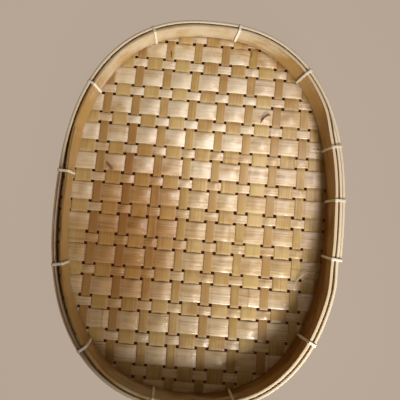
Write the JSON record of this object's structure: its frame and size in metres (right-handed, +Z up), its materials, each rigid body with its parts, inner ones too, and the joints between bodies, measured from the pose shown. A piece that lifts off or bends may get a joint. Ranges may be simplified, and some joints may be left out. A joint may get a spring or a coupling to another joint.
{
  "type": "woven bamboo plate",
  "caption": "Shallow oval tray of flat bamboo splits in plain weave, its bent-up edge bound between two upright bamboo hoops with cane ties; holds food or small things.",
  "frame": {"origin": "on the table under the middle of the oval", "axes": "+Y along the tray's length, +X across it, +Z up out of the tray"},
  "size_m": [0.2631, 0.35, 0.0242],
  "materials": {
    "weft_bamboo": "smooth scraped bamboo, satin",
    "warp_bamboo": "smooth scraped bamboo, satin, more golden",
    "hoop_bamboo": "split bamboo, satin",
    "tie_cane": "pale flat cane, matt"
  },
  "bodies": {
    "root": {"cane_tie_01": "tie_cane", "cane_tie_02": "tie_cane", "cane_tie_03": "tie_cane", "cane_tie_04": "tie_cane", "cane_tie_05": "tie_cane", "cane_tie_06": "tie_cane", "cane_tie_07": "tie_cane", "cane_tie_08": "tie_cane", "cane_tie_09": "tie_cane", "cane_tie_10": "tie_cane", "cane_tie_11": "tie_cane", "cane_tie_12": "tie_cane", "cane_tie_13": "tie_cane", "inner_hoop": "hoop_bamboo", "outer_hoop": "hoop_bamboo", "warp_narrow_left_1": "warp_bamboo", "warp_narrow_left_2": "warp_bamboo", "warp_narrow_left_3": "warp_bamboo", "warp_narrow_left_4": "warp_bamboo", "warp_narrow_right_1": "warp_bamboo", "warp_narrow_right_2": "warp_bamboo", "warp_narrow_right_3": "warp_bamboo", "warp_narrow_right_4": "warp_bamboo", "warp_wide_left_1": "warp_bamboo", "warp_wide_left_2": "warp_bamboo", "warp_wide_left_3": "warp_bamboo", "warp_wide_left_4": "warp_bamboo", "warp_wide_middle": "warp_bamboo", "warp_wide_right_1": "warp_bamboo", "warp_wide_right_2": "warp_bamboo", "warp_wide_right_3": "warp_bamboo", "warp_wide_right_4": "warp_bamboo", "weft_narrow_far_1": "weft_bamboo", "weft_narrow_far_2": "weft_bamboo", "weft_narrow_far_3": "weft_bamboo", "weft_narrow_far_4": "weft_bamboo", "weft_narrow_far_5": "weft_bamboo", "weft_narrow_far_6": "weft_bamboo", "weft_narrow_near_1": "weft_bamboo", "weft_narrow_near_2": "weft_bamboo", "weft_narrow_near_3": "weft_bamboo", "weft_narrow_near_4": "weft_bamboo", "weft_narrow_near_5": "weft_bamboo", "weft_narrow_near_6": "weft_bamboo", "weft_wide_far_1": "weft_bamboo", "weft_wide_far_2": "weft_bamboo", "weft_wide_far_3": "weft_bamboo", "weft_wide_far_4": "weft_bamboo", "weft_wide_far_5": "weft_bamboo", "weft_wide_middle": "weft_bamboo", "weft_wide_near_1": "weft_bamboo", "weft_wide_near_2": "weft_bamboo", "weft_wide_near_3": "weft_bamboo", "weft_wide_near_4": "weft_bamboo", "weft_wide_near_5": "weft_bamboo", "weft_wide_near_6": "weft_bamboo"}
  },
  "joints": []
}
